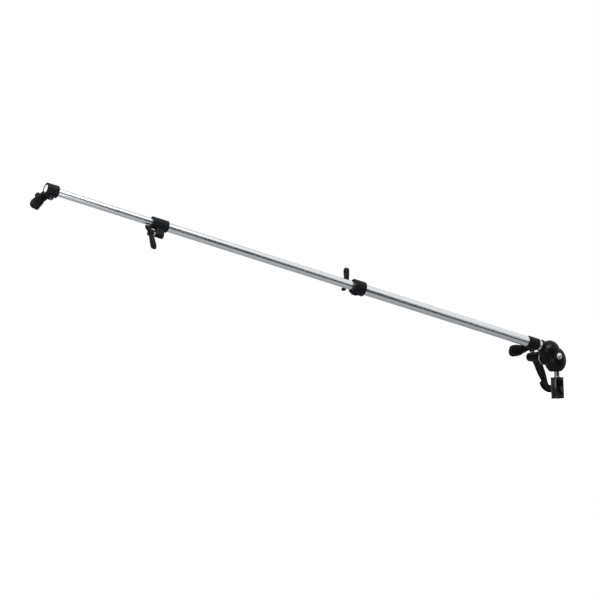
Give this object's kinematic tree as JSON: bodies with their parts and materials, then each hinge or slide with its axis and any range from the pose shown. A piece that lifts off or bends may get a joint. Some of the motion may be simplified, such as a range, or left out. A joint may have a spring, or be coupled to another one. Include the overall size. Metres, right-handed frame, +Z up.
{
  "type": "reflector holder arm",
  "caption": "Telescopic arm on a swivelling ball head and stand socket, with cam locks on its slides and paddle clips that grip the rim of a round reflector.",
  "frame": {"origin": "middle of the socket mouth, where the arm drops onto the stud of a stand", "axes": "+Z up along the stand stud; the arm leaves the head towards -X and rises; -Y is the front, towards the viewer; the rim clips reach towards +Y"},
  "size_m": [1.2308, 0.0967, 0.4921],
  "materials": {
    "cast_black": "fine textured black paint on a casting",
    "nylon_black": "satin moulded black nylon",
    "socket_black": "glossy black plated steel",
    "steel_bright": "bright plated steel",
    "tube_silver": "clear anodised drawn tube, satin",
    "rubber_black": "matt black rubber",
    "seat_white": "natural acetal",
    "brass": "turned, knurled insert"
  },
  "bodies": {
    "socket": {"socket_sleeve": "socket_black", "socket_grub_screw": "steel_bright", "ball_stem": "steel_bright"},
    "upper_seat": {"upper_ball_seat": "seat_white"},
    "lower_seat": {"lower_ball_seat": "seat_white"},
    "head": {"head_front_shell": "cast_black", "head_rear_shell": "cast_black", "shell_dowel_1": "steel_bright", "shell_dowel_2": "steel_bright", "tube_grub_screw": "steel_bright", "clamp_bolt": "steel_bright", "bolt_cap_nut": "steel_bright", "thrust_washer": "steel_bright", "outer_tube": "tube_silver", "outer_cam_collar": "nylon_black", "outer_brake_shoe": "seat_white"},
    "head_lever": {"clamp_lever": "cast_black", "lever_insert": "brass", "lever_button": "cast_black"},
    "outer_cam": {"outer_cam_shaft": "steel_bright", "outer_cam_lever": "nylon_black"},
    "middle_arm": {"middle_tube": "tube_silver", "middle_glide": "seat_white", "middle_cam_collar": "nylon_black", "middle_brake_shoe": "seat_white"},
    "middle_cam": {"middle_cam_shaft": "steel_bright", "middle_cam_lever": "nylon_black"},
    "inner_arm": {"inner_tube": "tube_silver", "inner_glide": "seat_white", "arm_end_plug": "seat_white"},
    "right_clip": {"right_clip_collar": "nylon_black", "right_clip_grub_screw": "steel_bright", "right_clip_stud": "steel_bright"},
    "right_jaw": {"right_front_jaw": "nylon_black", "right_front_pad": "rubber_black"},
    "right_back": {"right_back_jaw": "nylon_black", "right_back_pad": "rubber_black"},
    "right_knob": {"right_wing_knob": "nylon_black", "right_knob_insert": "brass"},
    "left_clip": {"left_clip_collar": "nylon_black", "left_clip_grub_screw": "steel_bright", "left_clip_stud": "steel_bright"},
    "left_jaw": {"left_front_jaw": "nylon_black", "left_front_pad": "rubber_black"},
    "left_back": {"left_back_jaw": "nylon_black", "left_back_pad": "rubber_black"},
    "left_knob": {"left_wing_knob": "nylon_black", "left_knob_insert": "brass"}
  },
  "joints": [
    {"name": "head_pan", "type": "hinge", "parent": "socket", "child": "upper_seat", "pos_m": [0, 0, 0.0813], "axis": [0, 0, 1], "continuous": true},
    {"name": "head_tilt", "type": "hinge", "parent": "upper_seat", "child": "lower_seat", "pos_m": [0, 0, 0.0813], "axis": [0, 1, 0], "range_deg": [-8, 8]},
    {"name": "head_roll", "type": "hinge", "parent": "lower_seat", "child": "head", "pos_m": [0, 0, 0.0813], "axis": [-0.9528, 0, 0.3035], "range_deg": [-6, 6]},
    {"name": "lever_turn", "type": "hinge", "parent": "head", "child": "head_lever", "pos_m": [-0.01363, -0.00496, 0.0909], "axis": [0.342, -0.9397, 0], "range_deg": [0, 120]},
    {"name": "outer_cam_turn", "type": "hinge", "parent": "head", "child": "outer_cam", "pos_m": [-0.45981, 0.02282, 0.25581], "axis": [-0.9528, 0, 0.3035], "range_deg": [-45, 0]},
    {"name": "middle_slide", "type": "slide", "parent": "head", "child": "middle_arm", "axis": [-0.9528, 0, 0.3035], "range_m": [-0.387, 0]},
    {"name": "middle_cam_turn", "type": "hinge", "parent": "middle_arm", "child": "middle_cam", "pos_m": [-0.92004, -0.00776, 0.3727], "axis": [-0.9528, 0, 0.3035], "range_deg": [0, 90]},
    {"name": "inner_slide", "type": "slide", "parent": "middle_arm", "child": "inner_arm", "axis": [-0.9528, 0, 0.3035], "range_m": [-0.2, 0.19]},
    {"name": "right_clip_swing", "type": "hinge", "parent": "head", "child": "right_clip", "pos_m": [-0.05765, 0, 0.12136], "axis": [-0.9528, 0, 0.3035], "range_deg": [-45, 45]},
    {"name": "right_jaw_swivel", "type": "hinge", "parent": "right_clip", "child": "right_jaw", "pos_m": [-0.06114, 0.03305, 0.1104], "axis": [0.0998, -0.9444, 0.3134], "range_deg": [-60, 60]},
    {"name": "right_jaw_open", "type": "slide", "parent": "right_jaw", "child": "right_back", "axis": [-0.0998, 0.9444, -0.3134], "range_m": [0, 0.006]},
    {"name": "right_knob_turn", "type": "hinge", "parent": "right_back", "child": "right_knob", "pos_m": [-0.06114, 0.03305, 0.1104], "axis": [-0.0998, 0.9444, -0.3134], "range_deg": [0, 1080]},
    {"name": "left_clip_swing", "type": "hinge", "parent": "inner_arm", "child": "left_clip", "pos_m": [-1.17035, 0, 0.47583], "axis": [-0.9528, 0, 0.3035], "range_deg": [-45, 45]},
    {"name": "left_jaw_swivel", "type": "hinge", "parent": "left_clip", "child": "left_jaw", "pos_m": [-1.17384, 0.03305, 0.46486], "axis": [0.0998, -0.9444, 0.3134], "range_deg": [-60, 60]},
    {"name": "left_jaw_open", "type": "slide", "parent": "left_jaw", "child": "left_back", "axis": [-0.0998, 0.9444, -0.3134], "range_m": [0, 0.006]},
    {"name": "left_knob_turn", "type": "hinge", "parent": "left_back", "child": "left_knob", "pos_m": [-1.17384, 0.03305, 0.46486], "axis": [-0.0998, 0.9444, -0.3134], "range_deg": [0, 1080]}
  ],
  "couplings": [
    {"joint": "right_knob_turn", "follows": "right_jaw_open", "rad_per_m": 3141.6},
    {"joint": "left_knob_turn", "follows": "left_jaw_open", "rad_per_m": 3141.6}
  ]
}
